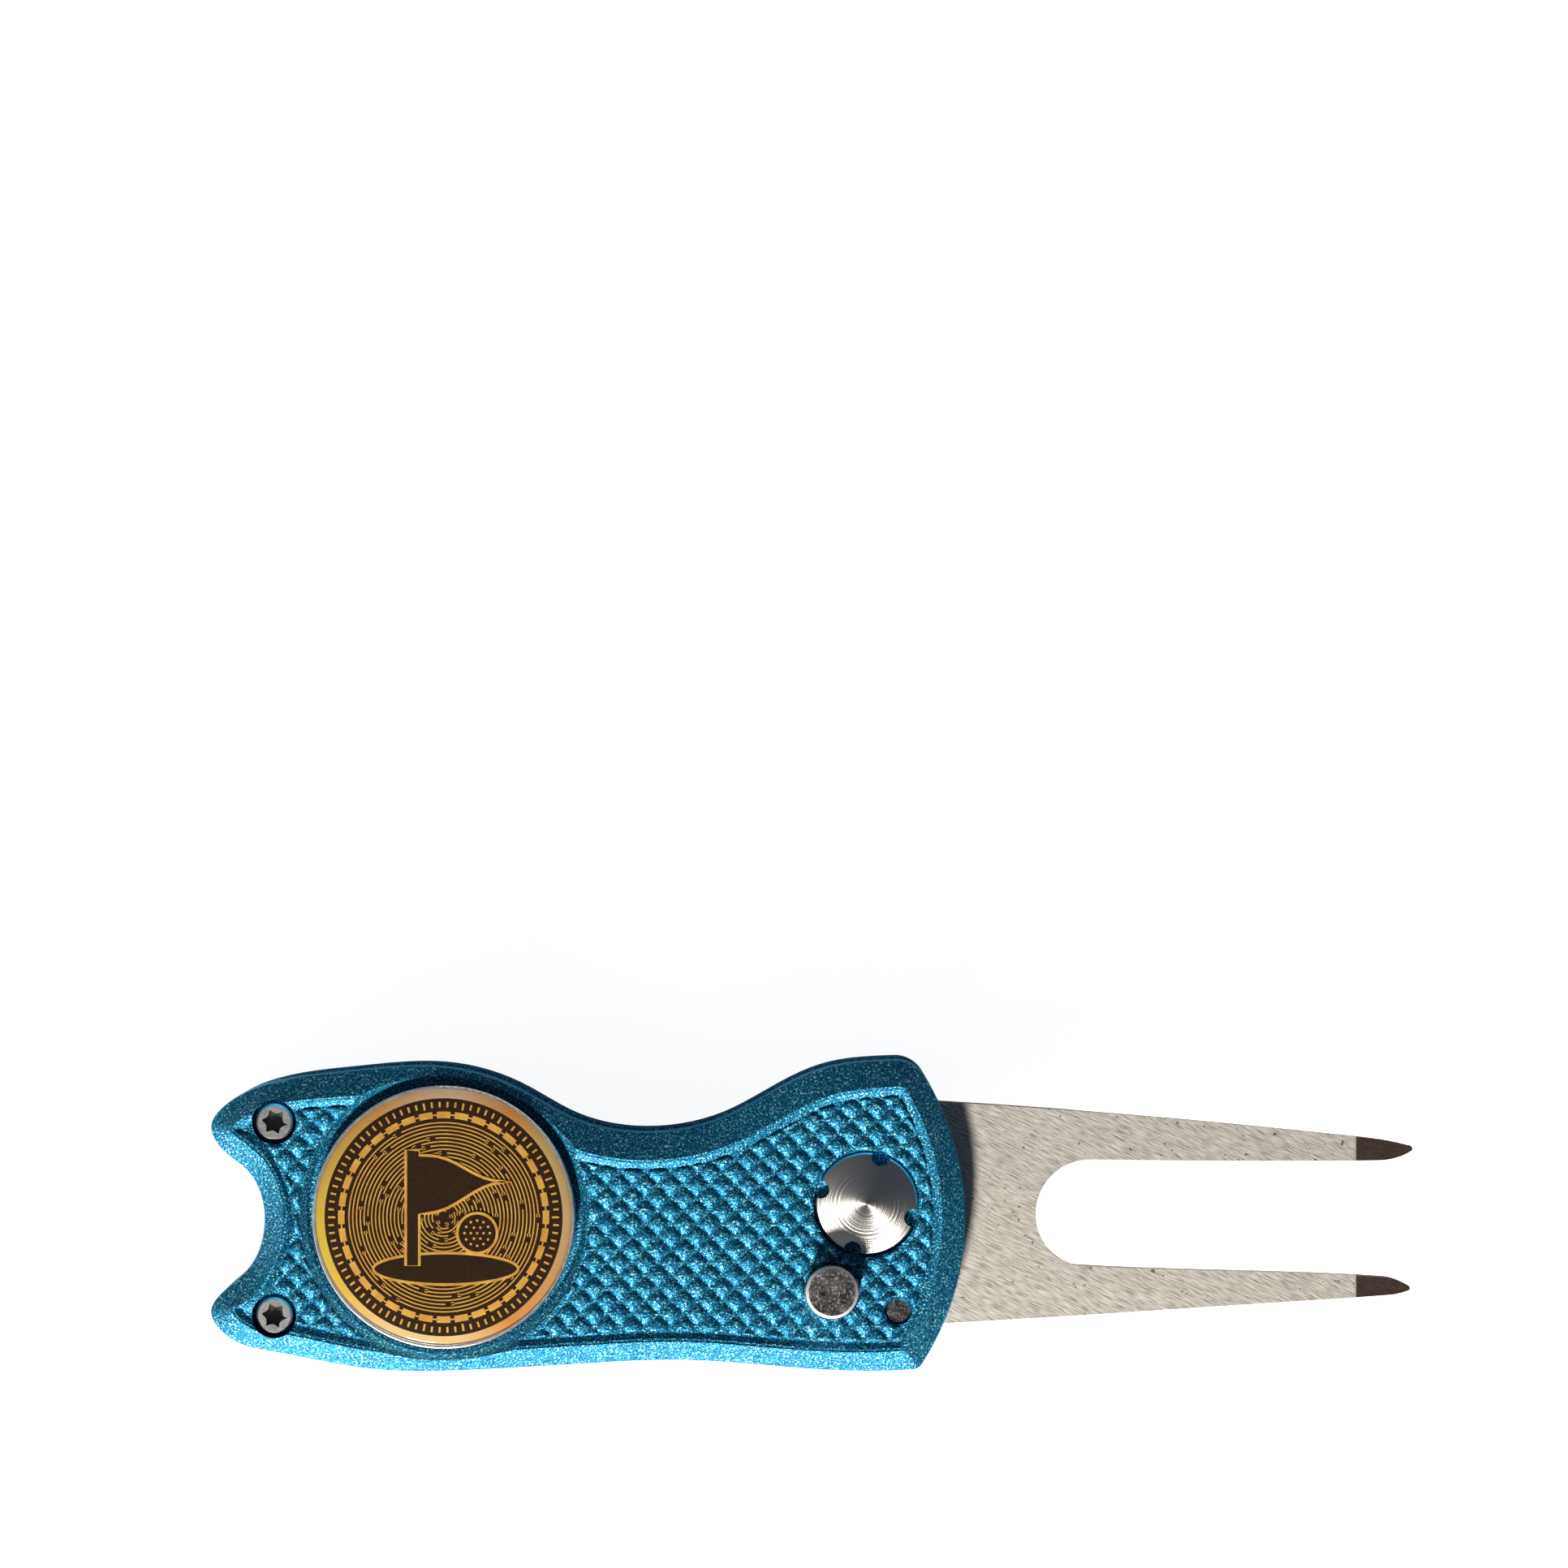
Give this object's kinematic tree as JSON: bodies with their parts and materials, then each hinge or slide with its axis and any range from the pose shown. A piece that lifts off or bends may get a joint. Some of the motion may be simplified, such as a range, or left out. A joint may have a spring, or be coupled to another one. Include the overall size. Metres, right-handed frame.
{
  "type": "divot repair tool",
  "caption": "Folding golf divot repair tool: a spring fork turns out of a two-plate handle with a lock button and a round magnetic ball marker.",
  "frame": {"origin": "under the middle of the tool with its fork open, on the surface it lies on", "axes": "+X along the tool towards the fork's tips, +Y towards the waisted side of the handle, +Z out of the face with the ball marker and button"},
  "size_m": [0.115, 0.0298, 0.015],
  "materials": {
    "blue_alloy": "metallic blue anodised over a blasted casting",
    "fork_steel": "brushed",
    "turned_steel": "turned",
    "button_steel": "turned and worn",
    "pin_steel": "polished",
    "screw_steel": "satin",
    "spring_steel": "drawn wire",
    "washer_plastic": "matte",
    "marker_steel": "polished",
    "marker_print": "gold and brown print",
    "clear_resin": "glossy resin dome",
    "magnet_nickel": "nickel plated"
  },
  "bodies": {
    "handle": {"front_scale": "blue_alloy", "rear_scale": "blue_alloy", "pivot_screw": "turned_steel", "pivot_barrel": "turned_steel", "washer_front": "washer_plastic", "washer_rear": "washer_plastic", "torsion_spring": "spring_steel", "button_spring": "spring_steel", "stop_pin": "pin_steel", "rear_screw_upper": "screw_steel", "rear_screw_lower": "screw_steel", "marker_magnet": "magnet_nickel"},
    "fork": {"fork": "fork_steel"},
    "button": {"lock_button": "button_steel"},
    "marker": {"marker_tray": "marker_steel", "marker_print": "marker_print", "marker_dome": "clear_resin"}
  },
  "joints": [
    {"name": "fork_fold", "type": "hinge", "parent": "handle", "child": "fork", "pos_m": [0.00505, 0.00115, 0.00722], "axis": [0, 0, 1], "range_deg": [0, 189.7], "stiffness_Nm_per_rad": 0.006, "springref_deg": -34.38, "deforming": ["torsion_spring"]},
    {"name": "button_press", "type": "slide", "parent": "handle", "child": "button", "axis": [0, 0, -1], "range_m": [0, 0.0022], "stiffness_N_per_m": 500, "springref_m": -0.0015, "deforming": ["button_spring"]},
    {"name": "marker_lift", "type": "slide", "parent": "handle", "child": "marker", "axis": [0, 0, 1], "range_m": [0, 0.012]}
  ]
}
